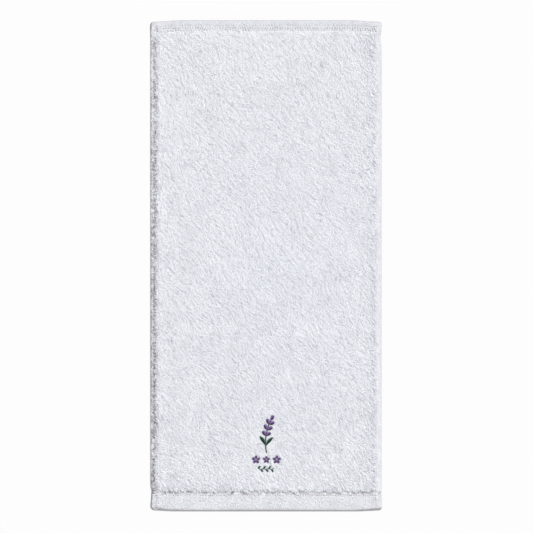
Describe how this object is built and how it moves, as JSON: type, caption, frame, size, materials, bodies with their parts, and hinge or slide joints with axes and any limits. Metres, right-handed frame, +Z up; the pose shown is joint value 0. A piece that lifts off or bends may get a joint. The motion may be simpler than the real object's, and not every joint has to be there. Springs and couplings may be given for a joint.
{
  "type": "bath towel",
  "caption": "Rectangular bath towel of white cotton terry, hemmed on every edge and embroidered near its lower end; it lies flat and dries the body.",
  "frame": {"origin": "the middle of the underside, at the centre of the towel's outline", "axes": "+Z up out of the face, +Y along the length to the top hem, +X to the right of the face"},
  "size_m": [0.6624, 1.4, 0.009],
  "materials": {
    "terry": "looped cotton pile, matte"
  },
  "bodies": {
    "root": {"towel": "terry"}
  },
  "joints": []
}
